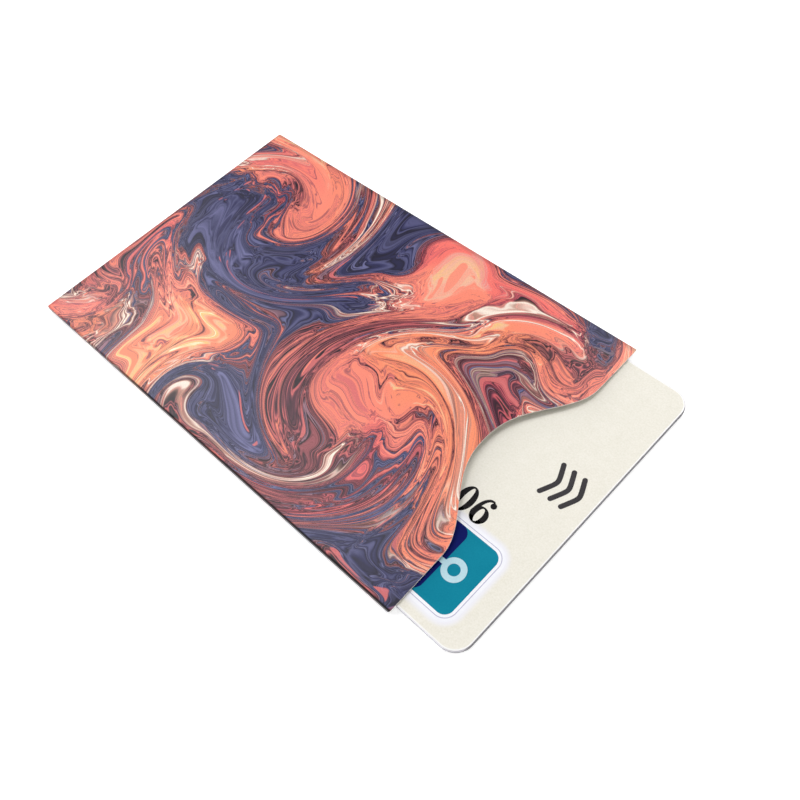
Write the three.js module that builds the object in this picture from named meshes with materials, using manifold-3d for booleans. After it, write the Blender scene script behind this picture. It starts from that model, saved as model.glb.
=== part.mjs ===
// A paper envelope for a key card, with the card drawn a finger's width out of it.
// Millimetres. The origin is the centre of the envelope's underside, +X points to the open mouth,
// along which the card is pulled out, and +Z points up through the printed front.
import * as THREE from "three";
import { mergeVertices } from "three/addons/utils/BufferGeometryUtils.js";
import Module from "manifold-3d";

const wasm = await Module();
wasm.setup();

// The card, in the common wallet format
const CARD_LENGTH = 85.6;
const CARD_WIDTH = 53.98;
const CARD_THICKNESS = 0.76;
const CARD_CORNER_RADIUS = 3.18;
const CARD_OVERLAY = 0.06; // clear film on each face

// The aerial inside the card
const COIL_TURNS = 3;
const COIL_TRACK = 0.4;
const COIL_HEIGHT = 0.1;
const COIL_INSET = 4.5; // from the card's edge to the middle of the outer turn
const COIL_LAND = 0.5; // film left standing between two turns' grooves
const BRIDGE_HEIGHT = 0.04; // strap under the turns
const INLAY_FLOOR = 0.06; // film between the turns and the strap
const CHIP_LENGTH = 8;
const CHIP_WIDTH = 4.8;
const CHIP_X = -22; // from the card's middle
const EMBED_CLEARANCE = 0.3; // around what is let into the middle film

// The envelope's laminate and its seams
const PAPER = 0.12;
const FOIL = 0.02;
const LINER = 0.03;
const GLUE = 0.02;
const GLUE_MARGIN = 0.8; // bare flap around the glue
const CREASE_RADIUS = 0.14;
const SIDE_FLAP_WIDTH = 9;
const END_FLAP_WIDTH = 8;
const FLAP_GAP = 0.6; // between a flap's end and the next fold or the mouth

// Room for the card in the pocket
const SIDE_PLAY = 1.05;
const END_PLAY = 0.3; // between the closed end and the card pushed home
const MOUTH_COVER = 0.05; // paper past the middle of the card's end when it is home
const UNDER_PLAY = 0.04;
const TOP_PLAY = 0.12;

// The mouth
const NOTCH_WIDTH = 36.3;
const NOTCH_DEPTH = 7.6;
const NOTCH_BEND = 1.19; // above 1 the notch turns tighter at its shoulders than at its bottom
const NOTCH_SHIFT = 0.2; // from the centre line
const BOW_RISE = 0.95; // how far the middle of the front stands up at the mouth

// The card as it is pictured: drawn out, a little askew and to one side
const CARD_DRAWN = 11.76;
const CARD_SHIFT = -0.09;
const CARD_SKEW = THREE.MathUtils.degToRad(-0.83);

// Facets
const ARC_STEPS = 8;
const FRONT_STEPS_LONG = 6;
const FRONT_STEPS_ACROSS = 30;

// The card's layers
const INLAY = COIL_HEIGHT + INLAY_FLOOR + BRIDGE_HEIGHT;
const CARD_CORE = (CARD_THICKNESS - 2 * CARD_OVERLAY - INLAY) / 2;
const BACK_CORE_Z = CARD_OVERLAY;
const INLAY_Z = BACK_CORE_Z + CARD_CORE;
const FRONT_CORE_Z = INLAY_Z + INLAY;
const FRONT_OVERLAY_Z = FRONT_CORE_Z + CARD_CORE;

// The room that the askew card takes along and across the envelope
const SKEW_COS = Math.cos(CARD_SKEW);
const SKEW_SIN = Math.abs(Math.sin(CARD_SKEW));
const CARD_SPAN_LONG = CARD_LENGTH * SKEW_COS + CARD_WIDTH * SKEW_SIN;
const CARD_SPAN_ACROSS = CARD_WIDTH * SKEW_COS + CARD_LENGTH * SKEW_SIN;

// The envelope's outside
const SHEET = PAPER + FOIL + LINER;
const SLEEVE_LENGTH = SHEET + END_PLAY + (CARD_SPAN_LONG + CARD_LENGTH) / 2 + MOUTH_COVER;
const SLEEVE_WIDTH = CARD_SPAN_ACROSS + 2 * SIDE_PLAY + 2 * SHEET;
const FLAP_Z = SHEET + GLUE;
const CARD_Z = FLAP_Z + SHEET + UNDER_PLAY;
const FRONT_Z = CARD_Z + CARD_THICKNESS + TOP_PLAY;
const SLEEVE_HEIGHT = FRONT_Z + SHEET;

// The panels lie between the folds
const CLOSED_END = -SLEEVE_LENGTH / 2;
const MOUTH = SLEEVE_LENGTH / 2;
const PANEL_START = CLOSED_END + SHEET;
const PANEL_LENGTH = MOUTH - PANEL_START;
const PANEL_WIDTH = SLEEVE_WIDTH - 2 * SHEET;
const PANEL_MIDDLE = (PANEL_START + MOUTH) / 2;

// A flap's ends are cut at 45 degrees, so two flaps meet along a mitre
const SIDE_FLAP_LENGTH = PANEL_LENGTH - 2 * FLAP_GAP;
const END_FLAP_LENGTH = PANEL_WIDTH - 2 * FLAP_GAP;
const MITRE_SHARE = 1 + Math.SQRT2; // how fast a mitred end draws in as the outline shrinks

// The coil's turns and the chip inside them
const GROOVE_WIDTH = COIL_TRACK + 2 * EMBED_CLEARANCE;
const COIL_PITCH = GROOVE_WIDTH + COIL_LAND;
const WINDOW_WIDTH = CHIP_WIDTH + 2 * EMBED_CLEARANCE;
const WINDOW_LENGTH = CHIP_LENGTH + 2 * EMBED_CLEARANCE;
const INNER_TURN_Y = CARD_WIDTH / 2 - COIL_INSET - (COIL_TURNS - 1) * COIL_PITCH;
const CHIP_Y = -INNER_TURN_Y + GROOVE_WIDTH / 2 + COIL_LAND + WINDOW_WIDTH / 2;

const HOME_X = PANEL_START + END_PLAY + CARD_SPAN_LONG / 2;

function finish(colour, roughness, metalness = 0) {
  return new THREE.MeshStandardMaterial({ color: colour, roughness, metalness });
}

function piece(name, geometry, material) {
  const mesh = new THREE.Mesh(geometry, material);
  mesh.name = name;
  return mesh;
}

// A flat plate of the given outline, standing on z
function plate(outline, z, height) {
  const settings = { depth: height, bevelEnabled: false, curveSegments: ARC_STEPS };
  return new THREE.ExtrudeGeometry(outline, settings).translate(0, 0, z);
}

function solidOf(geometry) {
  const bare = geometry.clone();
  bare.deleteAttribute("normal");
  bare.deleteAttribute("uv");
  const merged = mergeVertices(bare);
  const mesh = new wasm.Mesh({
    numProp: 3,
    vertProperties: merged.attributes.position.array,
    triVerts: new Uint32Array(merged.index.array),
  });
  return new wasm.Manifold(mesh);
}

function geometryOf(solid) {
  const mesh = solid.getMesh();
  const geometry = new THREE.BufferGeometry();
  geometry.setAttribute("position", new THREE.BufferAttribute(mesh.vertProperties, 3));
  geometry.setIndex(new THREE.BufferAttribute(mesh.triVerts, 1));
  geometry.computeVertexNormals();
  return geometry;
}

function cutAway(geometry, ...cutters) {
  const left = cutters.reduce((solid, cutter) => solid.subtract(solidOf(cutter)), solidOf(geometry));
  return geometryOf(left);
}

// The thumb notch is one wave of a raised cosine, and a power draws its shoulders tight
function mouthAt(y) {
  const across = Math.min(Math.abs(y - NOTCH_SHIFT) / (NOTCH_WIDTH / 2), 1);
  return MOUTH - NOTCH_DEPTH * Math.cos((across ** NOTCH_BEND * Math.PI) / 2) ** 2;
}

// The front lies flat along its folds and stands up towards the middle of the mouth
function bowAt(x, y) {
  const along = (x - PANEL_START) / PANEL_LENGTH;
  const across = y / (PANEL_WIDTH / 2);
  return BOW_RISE * along ** 2 * (1 - across ** 2) ** 2;
}

// A closed sheet: a grid of points as its top, the same grid lowered as its underside, and a rim
function thickened(grid, thickness) {
  const top = Array.from(grid.index.array);
  const count = grid.attributes.position.count;
  const corners = [];
  const edges = new Map();
  for (let i = 0; i < top.length; i += 3) {
    const [a, b, c] = top.slice(i, i + 3);
    corners.push(a, b, c, c + count, b + count, a + count);
    for (const [from, to] of [[a, b], [b, c], [c, a]]) {
      edges.set(`${from} ${to}`, [from, to]);
    }
  }
  for (const [from, to] of edges.values()) {
    const isRim = !edges.has(`${to} ${from}`);
    if (isRim) corners.push(from, from + count, to + count, from, to + count, to);
  }
  const upper = Array.from(grid.attributes.position.array);
  const lower = upper.map((value, i) => (i % 3 === 2 ? value - thickness : value));
  const geometry = new THREE.BufferGeometry();
  geometry.setAttribute("position", new THREE.Float32BufferAttribute([...upper, ...lower], 3));
  geometry.setIndex(corners);
  geometry.computeVertexNormals();
  return geometry;
}

// One layer of the bowed front, cut to the notch, with its underside on z along the folds
function frontLayer(z, thickness) {
  const grid = new THREE.PlaneGeometry(1, 1, FRONT_STEPS_LONG, FRONT_STEPS_ACROSS);
  const points = grid.attributes.position;
  for (let i = 0; i < points.count; i += 1) {
    const y = points.getY(i) * PANEL_WIDTH;
    const x = THREE.MathUtils.lerp(PANEL_START, mouthAt(y), points.getX(i) + 0.5);
    points.setXYZ(i, x, y, z + thickness + bowAt(x, y));
  }
  return thickened(grid, thickness);
}

// One layer of the flat back, with a straight mouth
function backLayer(z, thickness) {
  const geometry = new THREE.BoxGeometry(PANEL_LENGTH, PANEL_WIDTH, thickness);
  return geometry.translate(PANEL_MIDDLE, 0, z + thickness / 2);
}

// An upright wall of the sheet between its two creases, rounded on the outside.
// It runs along X with its outside at -Y, and starts at the middle of its length.
function foldWall(length) {
  const radius = Math.min(CREASE_RADIUS, SHEET);
  const section = new THREE.Shape();
  section.moveTo(SHEET, 0);
  section.lineTo(SHEET, SLEEVE_HEIGHT);
  section.lineTo(radius, SLEEVE_HEIGHT);
  section.absarc(radius, SLEEVE_HEIGHT - radius, radius, Math.PI / 2, Math.PI);
  section.absarc(radius, radius, radius, Math.PI, (3 * Math.PI) / 2);
  const geometry = plate(section, -length / 2, length);
  const along = new THREE.Vector3(1, 0, 0);
  const across = new THREE.Vector3(0, 1, 0);
  const up = new THREE.Vector3(0, 0, 1);
  return geometry.applyMatrix4(new THREE.Matrix4().makeBasis(across, up, along));
}

function spineFold() {
  return foldWall(SLEEVE_LENGTH).translate(0, -SLEEVE_WIDTH / 2, 0);
}

function sideFold() {
  return spineFold().rotateZ(Math.PI);
}

function endFold() {
  return foldWall(PANEL_WIDTH).rotateZ(-Math.PI / 2).translate(CLOSED_END, 0, 0);
}

// A glue flap's outline, hinged on the X axis and reaching to +Y, drawn in by a margin on every side
function flapOutline(length, width, margin) {
  const half = length / 2 - margin * MITRE_SHARE;
  const far = width - margin;
  const rise = far - margin;
  const outline = new THREE.Shape();
  outline.moveTo(-half, margin);
  outline.lineTo(half, margin);
  outline.lineTo(half - rise, far);
  outline.lineTo(rise - half, far);
  return outline;
}

function sideFlapLayer(z, thickness, margin) {
  const layer = plate(flapOutline(SIDE_FLAP_LENGTH, SIDE_FLAP_WIDTH, margin), z, thickness);
  return layer.rotateZ(Math.PI).translate(PANEL_MIDDLE, PANEL_WIDTH / 2, 0);
}

function endFlapLayer(z, thickness, margin) {
  const layer = plate(flapOutline(END_FLAP_LENGTH, END_FLAP_WIDTH, margin), z, thickness);
  return layer.rotateZ(-Math.PI / 2).translate(PANEL_START, 0, 0);
}

function cardOutline() {
  const x = CARD_LENGTH / 2;
  const y = CARD_WIDTH / 2;
  const radius = CARD_CORNER_RADIUS;
  const outline = new THREE.Shape();
  outline.absarc(x - radius, y - radius, radius, 0, Math.PI / 2);
  outline.absarc(radius - x, y - radius, radius, Math.PI / 2, Math.PI);
  outline.absarc(radius - x, radius - y, radius, Math.PI, (3 * Math.PI) / 2);
  outline.absarc(x - radius, radius - y, radius, (3 * Math.PI) / 2, 2 * Math.PI);
  return outline;
}

function cardLayer(z, thickness) {
  return plate(cardOutline(), z, thickness);
}

// The coil's middle line: a square spiral from beside the chip, inwards to the chip's end
function coilLine() {
  const outerX = CARD_LENGTH / 2 - COIL_INSET;
  const outerY = CARD_WIDTH / 2 - COIL_INSET;
  const line = [new THREE.Vector2(CHIP_X, -outerY)];
  for (let turn = 0; turn < COIL_TURNS; turn += 1) {
    const x = outerX - turn * COIL_PITCH;
    const y = outerY - turn * COIL_PITCH;
    const last = turn === COIL_TURNS - 1;
    const next = last ? CHIP_Y : COIL_PITCH - y;
    line.push(new THREE.Vector2(x, -y));
    line.push(new THREE.Vector2(x, y));
    line.push(new THREE.Vector2(-x, y));
    line.push(new THREE.Vector2(-x, next));
  }
  line.push(new THREE.Vector2(CHIP_X - WINDOW_LENGTH / 2, CHIP_Y));
  return line;
}

// A track of even width along a line of square corners, with its ends drawn out a little
function trackOutline(line, width, drawnOut) {
  const heading = (i) => line[i + 1].clone().sub(line[i]).normalize();
  const leftOf = (direction) => new THREE.Vector2(-direction.y, direction.x);
  const lastLeg = line.length - 2;
  const near = [];
  const far = [];
  line.forEach((corner, i) => {
    const before = heading(Math.max(i - 1, 0));
    const after = heading(Math.min(i, lastLeg));
    const isEnd = i === 0 || i > lastLeg;
    const aside = isEnd ? leftOf(after) : leftOf(before).add(leftOf(after));
    const end = i === 0 ? -drawnOut : drawnOut;
    const middle = isEnd ? corner.clone().addScaledVector(after, end) : corner;
    near.push(middle.clone().addScaledVector(aside, width / 2));
    far.unshift(middle.clone().addScaledVector(aside, -width / 2));
  });
  return new THREE.Shape([...near, ...far]);
}

function coil() {
  return plate(trackOutline(coilLine(), COIL_TRACK, 0), INLAY_Z + INLAY - COIL_HEIGHT, COIL_HEIGHT);
}

function coilGroove() {
  const outline = trackOutline(coilLine(), GROOVE_WIDTH, EMBED_CLEARANCE);
  return plate(outline, INLAY_Z + INLAY - COIL_HEIGHT, 2 * COIL_HEIGHT);
}

function chip() {
  const geometry = new THREE.BoxGeometry(CHIP_LENGTH, CHIP_WIDTH, INLAY);
  return geometry.translate(CHIP_X, CHIP_Y, INLAY_Z + INLAY / 2);
}

function chipWindow() {
  const geometry = new THREE.BoxGeometry(WINDOW_LENGTH, WINDOW_WIDTH, 2 * INLAY);
  return geometry.translate(CHIP_X, CHIP_Y, INLAY_Z + INLAY / 2);
}

// The strap's middle line, from under the outer turn's start to the chip's window
function bridgeLine() {
  const start = new THREE.Vector2(CHIP_X, COIL_INSET - CARD_WIDTH / 2 - COIL_TRACK / 2);
  const end = new THREE.Vector2(CHIP_X, CHIP_Y - WINDOW_WIDTH / 2);
  return [start, end];
}

function bridge() {
  return plate(trackOutline(bridgeLine(), COIL_TRACK, 0), INLAY_Z, BRIDGE_HEIGHT);
}

function bridgeGroove() {
  const outline = trackOutline(bridgeLine(), GROOVE_WIDTH, EMBED_CLEARANCE);
  return plate(outline, INLAY_Z - BRIDGE_HEIGHT, 2 * BRIDGE_HEIGHT);
}

function inlay() {
  return cutAway(cardLayer(INLAY_Z, INLAY), coilGroove(), chipWindow(), bridgeGroove());
}

function sleeve() {
  const group = new THREE.Group();
  const print = 0xa4553f;
  const backFoilZ = PAPER;
  const backLinerZ = PAPER + FOIL;
  const frontFoilZ = FRONT_Z + LINER;
  const frontPaperZ = FRONT_Z + LINER + FOIL;
  group.add(piece("front_panel", frontLayer(frontPaperZ, PAPER), finish(print, 0.38)));
  group.add(piece("front_foil", frontLayer(frontFoilZ, FOIL), finish(0xb9bcc0, 0.3, 1)));
  group.add(piece("front_liner", frontLayer(FRONT_Z, LINER), finish(0xe9e6df, 0.85)));
  group.add(piece("back_panel", backLayer(0, PAPER), finish(print, 0.38)));
  group.add(piece("back_foil", backLayer(backFoilZ, FOIL), finish(0xb9bcc0, 0.3, 1)));
  group.add(piece("back_liner", backLayer(backLinerZ, LINER), finish(0xe9e6df, 0.85)));
  group.add(piece("spine_fold", spineFold(), finish(print, 0.42)));
  group.add(piece("side_fold", sideFold(), finish(print, 0.42)));
  group.add(piece("end_fold", endFold(), finish(print, 0.42)));
  group.add(piece("side_flap", sideFlapLayer(FLAP_Z, SHEET, 0), finish(0xe9e6df, 0.85)));
  group.add(piece("end_flap", endFlapLayer(FLAP_Z, SHEET, 0), finish(0xe9e6df, 0.85)));
  group.add(piece("side_seam_glue", sideFlapLayer(SHEET, GLUE, GLUE_MARGIN), finish(0xe3d9b8, 0.5)));
  group.add(piece("end_seam_glue", endFlapLayer(SHEET, GLUE, GLUE_MARGIN), finish(0xe3d9b8, 0.5)));
  return group;
}

function card() {
  const group = new THREE.Group();
  const white = 0xece9de;
  group.add(piece("card_front_overlay", cardLayer(FRONT_OVERLAY_Z, CARD_OVERLAY), finish(white, 0.45)));
  group.add(piece("card_front_core", cardLayer(FRONT_CORE_Z, CARD_CORE), finish(white, 0.55)));
  group.add(piece("card_inlay_sheet", inlay(), finish(0xdcdcd4, 0.6)));
  group.add(piece("card_antenna_coil", coil(), finish(0xb8733f, 0.35, 1)));
  group.add(piece("card_antenna_bridge", bridge(), finish(0xb8733f, 0.35, 1)));
  group.add(piece("card_chip_module", chip(), finish(0x23242a, 0.4)));
  group.add(piece("card_back_core", cardLayer(BACK_CORE_Z, CARD_CORE), finish(white, 0.55)));
  group.add(piece("card_back_overlay", cardLayer(0, CARD_OVERLAY), finish(white, 0.45)));
  group.position.set(HOME_X + CARD_DRAWN, CARD_SHIFT, CARD_Z);
  group.rotation.z = CARD_SKEW;
  return group;
}

const envelope = new THREE.Group();
envelope.add(sleeve(), card());

export default envelope;
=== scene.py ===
import math

import bmesh
import bpy
import numpy as np
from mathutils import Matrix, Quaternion, Vector


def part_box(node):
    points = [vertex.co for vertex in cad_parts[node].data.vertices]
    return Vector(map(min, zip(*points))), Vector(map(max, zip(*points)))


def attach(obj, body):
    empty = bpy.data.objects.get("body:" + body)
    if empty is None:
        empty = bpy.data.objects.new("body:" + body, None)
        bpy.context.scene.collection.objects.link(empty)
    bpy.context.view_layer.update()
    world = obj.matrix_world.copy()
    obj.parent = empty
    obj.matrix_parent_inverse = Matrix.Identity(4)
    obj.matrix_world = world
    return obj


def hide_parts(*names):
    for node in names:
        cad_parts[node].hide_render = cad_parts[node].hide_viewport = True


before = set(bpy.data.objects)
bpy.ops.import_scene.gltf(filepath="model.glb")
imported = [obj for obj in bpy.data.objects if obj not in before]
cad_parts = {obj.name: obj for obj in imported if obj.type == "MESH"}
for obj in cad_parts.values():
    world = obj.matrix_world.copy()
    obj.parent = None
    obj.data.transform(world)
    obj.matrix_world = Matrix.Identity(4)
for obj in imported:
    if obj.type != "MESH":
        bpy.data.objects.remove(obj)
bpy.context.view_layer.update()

MM = 0.001

# The laminated sheet and the envelope, in millimetres
PAPER = 0.12
FOIL = 0.02
LINER = 0.03
SHEET = PAPER + FOIL + LINER
FOLD_RADIUS = 0.35
NOTCH_WIDTH = 36.3
NOTCH_DEPTH = 7.6
NOTCH_BEND = 1.19  # above 1 the notch turns tighter at its shoulders than at its bottom
NOTCH_SHIFT = 0.2  # from the centre line
BOW_RISE = 0.95
MOUTH_SLANT = 0.7  # how far the back ends behind the front
BARE_EDGE = 0.03  # the strip of bare paper along the cut

# The card, in millimetres
CARD_LENGTH = 85.6
CARD_WIDTH = 53.98
CARD_CORNER_RADIUS = 3.18
CARD_EDGE_RADIUS = 0.14
CARD_MARGIN = 0.2  # the white band around the cream, a painted highlight along the edge
CARD_SKEW = math.radians(-0.83)
CARD_END_SHADE = (0.5, 0.05)  # how far from the leading end the painted shade in grey begins and is full

# The prints on the card, in millimetres from its middle
INK = 0.012
INK_SINK = 0.006  # how deep a layer of ink stands in what is below it
LABEL_CENTRE = (28.7, -17.8)
LABEL_HALF = (9.1, 6.0)
LABEL_CORNER = 1.6
LABEL_BORDER = 1.05
LABEL_HALO = 1.0
LABEL_LINE = 0.13
LABEL_LINE_INSET = 0.5
BAND_HALF = (6.2, 6.0)
NUMBER_CENTRE = (29.3, -8.3)
NUMBER_PITCH = 3.15
ARROWS_CENTRE = (37.5, 2.5)
ARROW_PITCH = 1.95
ARROW_HEIGHT = 6.4
ARROW_DEPTH = 1.5
ARROW_STROKE = 0.4
ARROW_BLUNTNESS = 0.03  # nought would draw a sharp tip

# The number's two figures, in millimetres from the middle of each; pairs are half a width and half a height
NOUGHT_OUTER = (1.42, 2.3)
NOUGHT_INNER = (0.48, 2.02)
BOWL_OUTER = (1.42, 1.48)
BOWL_INNER = (0.5, 1.2)
BOWL_DROP = 0.82
STEM_CENTRE = (0.3, -0.6)
STEM_HALF = (1.36, 2.76)
STEM_TURN = (190, 76)  # degrees, from foot to tip
STEM_TIP = 0.13  # half the pen's width at the tip
STEM_SWELL = 0.34  # what it gains down to the foot
STEM_TAPER = 1.5
STEM_ROUND = 0.1
BALL_CENTRE = (0.76, 1.62)
BALL_RADIUS = 0.48
BALL_HOLE = 0.002

# The key sign, in millimetres: its ring from the label's middle, its blade and teeth back from the ring
KEY_RING = 5.2
KEY_RING_OUTER = 1.9
KEY_RING_INNER = 0.95
KEY_BLADE = 4.1
KEY_BLADE_HALF = 2.6
KEY_PEN_HALF = 0.42
KEY_CORNER = 0.2
KEY_TEETH = [(6.1, 0.75), (4.5, 0.6)]  # how far back, and half the length

# The camera, in millimetres and degrees
CAMERA_PLACE = (80.52, -49.15, 115.44)
CAMERA_AIM = (20.24, -2.45, 1.0)
CAMERA_ROLL = -10.56
CAMERA_LENS = 38.76
CAMERA_SENSOR = 36.0
CAMERA_NEAR = 1.0

# The floor, in metres, its tone, and the light of its own that is seen
FLOOR_HALF = 0.6
FLOOR_DROP = 0.00005
FLOOR_TONE = 0.86
FLOOR_GLOW = 0.66

# The lamps: the way toward each, its size in metres, and the light that it gives a level surface
LAMP_DISTANCE = 1.2
LAMPS = {
    "key_light": ((-0.10, 0.60, 0.79), (0.4, 0.4), 0.22),
    "sheen_light": ((-0.56, 0.09, 0.82), (0.40, 0.75), 0.34),
    "fill_light": ((0.55, 0.62, 0.38), (0.8, 0.8), 0.17),
}

# The light from all around: its bright side, and its strength low and high on that side and on the other
STUDIO_SIDE = (-0.75, -0.66, 0.0)
STUDIO_LOW = 4.5
STUDIO_HIGH = 0.35
STUDIO_DIM = 0.05
STUDIO_RISE = (0.0, 0.6)  # the sines of height between which it goes from low to high
STUDIO_TURN = (-0.1, 0.6)  # the cosines to the bright side between which it goes from dim to bright

# Mesh steps, and the angle in degrees from which an edge is sharp
FOLD_STEPS = 6
ACROSS_STEPS = 112
ALONG_STEPS = 40
CORNER_STEPS = 16
STROKE_STEPS = 64
SHARP_ANGLE = 40.0

# The line to which a plate's face closes in its middle, as a share of the plate's length
MIDDLE_LINE = 0.8

# One unit of the flat sheet's map, and the distance at which doubles merge, in millimetres
SHEET_UNIT = 100.0
MERGE = 0.0002

# Where a baked picture of an envelope layer holds its outside, cut edge and inside, in shares of its width,
# and how far it is filled up and down from its middle
OUTSIDE_COLUMNS = (0.003, 0.945)
EDGE_COLUMNS = (0.950, 0.955)
RIM_COLUMNS = (0.955, 0.960)
INSIDE_COLUMNS = (0.965, 0.997)
PICTURE_HALF = 0.497

# The finishes of an envelope layer and of half of the card, by number
OUTSIDE, CUT, INSIDE = range(3)
CARD_FACE, CARD_SIDE, CARD_CORE, CARD_RIM_HIGHLIGHT = range(4)


def node_box(*names):
    """The lowest and highest corner of one or more CAD nodes, in millimetres."""
    corners = np.array([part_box(name) for name in names]) / MM
    return corners[:, 0].min(axis=0), corners[:, 1].max(axis=0)


SLEEVE_LOW, SLEEVE_HIGH = node_box("spine_fold", "side_fold", "end_fold")
CARD_LOW, CARD_HIGH = node_box("card_front_overlay", "card_back_overlay")
INLAY_LOW, INLAY_HIGH = node_box("card_inlay_sheet")
CARD_CENTRE = (CARD_LOW + CARD_HIGH) / 2
CARD_TOP = CARD_HIGH[2]
CLOSED_END = SLEEVE_LOW[0]
MOUTH = SLEEVE_HIGH[0]
SLEEVE_HALF_WIDTH = SLEEVE_HIGH[1]
SLEEVE_HALF_HEIGHT = SLEEVE_HIGH[2] / 2


# Meshes


def grid_quads(rows, columns, first, flip, around):
    """Corner numbers of the cells of a grid of points; around joins the last column to the first."""
    number = first + np.arange(rows * columns).reshape(rows, columns)
    if around:
        number = np.hstack([number, number[:, :1]])
    corners = [number[:-1, :-1], number[1:, :-1], number[1:, 1:], number[:-1, 1:]]
    quads = np.stack(corners, axis=-1).reshape(-1, 4)
    return quads[:, ::-1] if flip else quads


class Surface:
    """Grids of points gathered into one mesh, each with a finish, places on the flat sheet and a shade."""

    def __init__(self, name):
        self.name = name
        self.points = []
        self.quads = []
        self.finishes = []
        self.places = []
        self.pictures = []
        self.shades = []
        self.count = 0

    def grid(self, points, finish=0, flip=False, around=False, place=None, shade=None, picture=None):
        """Takes in one grid of points; what isn't given for it is nought all over."""
        rows, columns = points.shape[:2]
        nowhere = np.zeros((rows * columns, 2))
        quads = grid_quads(rows, columns, self.count, flip, around)
        self.points.append(points.reshape(-1, 3))
        self.quads.append(quads)
        self.finishes.append(np.full(len(quads), finish))
        self.places.append(nowhere if place is None else place.reshape(-1, 2))
        self.pictures.append(nowhere if picture is None else picture.reshape(-1, 2))
        self.shades.append(np.zeros(rows * columns) if shade is None else shade.reshape(-1))
        self.count += rows * columns

    def build(self, materials, body):
        """The finished piece: doubles merged, faces turned outwards, smooth but for its steep edges."""
        points = np.vstack(self.points) * MM
        quads = np.vstack(self.quads)
        places = np.vstack(self.places)[quads.ravel()] / SHEET_UNIT
        data = bpy.data.meshes.new(self.name)
        data.from_pydata(points.tolist(), [], quads.tolist())
        data.polygons.foreach_set("material_index", np.concatenate(self.finishes).astype(np.int32))
        layer = data.uv_layers.new(name="blank")
        layer.data.foreach_set("uv", places.astype(np.float32).ravel())
        pictures = np.vstack(self.pictures)[quads.ravel()]
        if pictures.any():
            layer = data.uv_layers.new(name="OFBake")
            layer.data.foreach_set("uv", pictures.astype(np.float32).ravel())
        shade = data.attributes.new("shade", "FLOAT", "POINT")
        shade.data.foreach_set("value", np.concatenate(self.shades).astype(np.float32))
        work = bmesh.new()
        work.from_mesh(data)
        bmesh.ops.remove_doubles(work, verts=work.verts, dist=MERGE * MM)
        bmesh.ops.dissolve_degenerate(work, edges=work.edges, dist=MERGE * MM)
        bmesh.ops.recalc_face_normals(work, faces=work.faces)
        work.to_mesh(data)
        work.free()
        for material in materials:
            data.materials.append(material)
        data.shade_smooth()
        data.set_sharp_from_angle(angle=math.radians(SHARP_ANGLE))
        made = bpy.data.objects.new(self.name, data)
        bpy.context.scene.collection.objects.link(made)
        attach(made, body)
        return made


# The envelope


def mouth_at(y):
    """The front's edge: a raised cosine cut back from the mouth, its shoulders drawn tight by a power."""
    across = np.minimum(np.abs(y - NOTCH_SHIFT) / (NOTCH_WIDTH / 2), 1)
    return MOUTH - NOTCH_DEPTH * np.cos(across**NOTCH_BEND * np.pi / 2) ** 2


def bow_at(x, y):
    """The front's rise: the square of the way to the mouth times a bell that is flat along both folds."""
    start = CLOSED_END + SHEET
    along = np.maximum(x - start, 0) / (MOUTH - start)
    across = np.minimum(np.abs(y) / (SLEEVE_HALF_WIDTH - SHEET), 1)
    return BOW_RISE * along**2 * (1 - across**2) ** 2


def fold_profile(radius, half_height):
    """From the middle of a fold wall up and round onto the face, by a quarter circle.

    Gives the way in, and the rise as a share of the half height.
    """
    turn = np.linspace(0, np.pi / 2, FOLD_STEPS + 1)
    inward = np.concatenate([[0], radius * (1 - np.cos(turn))])
    rise = np.concatenate([[0], 1 - radius / half_height * (1 - np.sin(turn))])
    return inward, rise


def tray(depth, front):
    """Half of the envelope as a shallow tray, its face at a depth below the outside.

    Across it goes wall, fold, face, fold, wall; along it goes end wall, fold, face, mouth. The height is the
    product of both rises. The front adds its bow and ends at the notch, and the mouth slants back from the
    front to the back. Also gives each point's place on the flat sheet, measured from the spine, and its
    share of fold.
    """
    side = 1 if front else -1
    half_width = SLEEVE_HALF_WIDTH - depth
    half_height = SLEEVE_HALF_HEIGHT - depth
    radius = FOLD_RADIUS - depth
    inward, rise = fold_profile(radius, half_height)
    flat = np.linspace(radius - half_width, half_width - radius, ACROSS_STEPS + 1)[1:-1]
    y = np.concatenate([inward - half_width, flat, (half_width - inward)[::-1]])
    rise_across = np.concatenate([rise, np.ones_like(flat), rise[::-1]])
    start = CLOSED_END + depth + radius
    slant = MOUTH_SLANT * (1 - side * rise_across) / 2
    end = (mouth_at(y) if front else MOUTH) - slant
    reach = np.linspace(0, 1, ALONG_STEPS + 1)[1:, None]
    wall = np.broadcast_to((CLOSED_END + depth + inward)[:, None], (len(inward), len(y)))
    x = np.vstack([wall, start + reach * (end - BARE_EDGE - start), end])
    rise_along = np.concatenate([rise, np.ones(ALONG_STEPS + 1)])[:, None]
    height = rise_along * rise_across
    z = SLEEVE_HALF_HEIGHT + side * half_height * height
    if front:
        z = z + bow_at(x, y)
    points = np.stack([x, np.broadcast_to(y, x.shape), z], axis=-1)
    leg = np.hypot(np.diff(y), half_height * np.diff(rise_across))
    from_spine = side * np.concatenate([[0], np.cumsum(leg)])
    from_end = x - CLOSED_END - half_height * (1 - rise_along)
    place = np.stack([from_end, np.broadcast_to(from_spine, x.shape)], axis=-1)
    return points, place, 1 - height


def on_picture(place, columns, narrow=False):
    """Where a grid lies on a baked picture: between two columns by its way from the closed end, or row by row
    if it is narrow, and up or down from the middle by its way from the spine, the front above the back.
    """
    from_end = place[..., 0]
    if narrow:
        share = np.broadcast_to(np.linspace(0, 1, len(place))[:, None], from_end.shape)
    else:
        share = (from_end - from_end.min()) / np.ptp(from_end)
    across = columns[0] + (columns[1] - columns[0]) * share
    up = 0.5 + PICTURE_HALF * place[..., 1] / np.abs(place[..., 1]).max()
    return np.stack([across, up], axis=-1)


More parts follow.
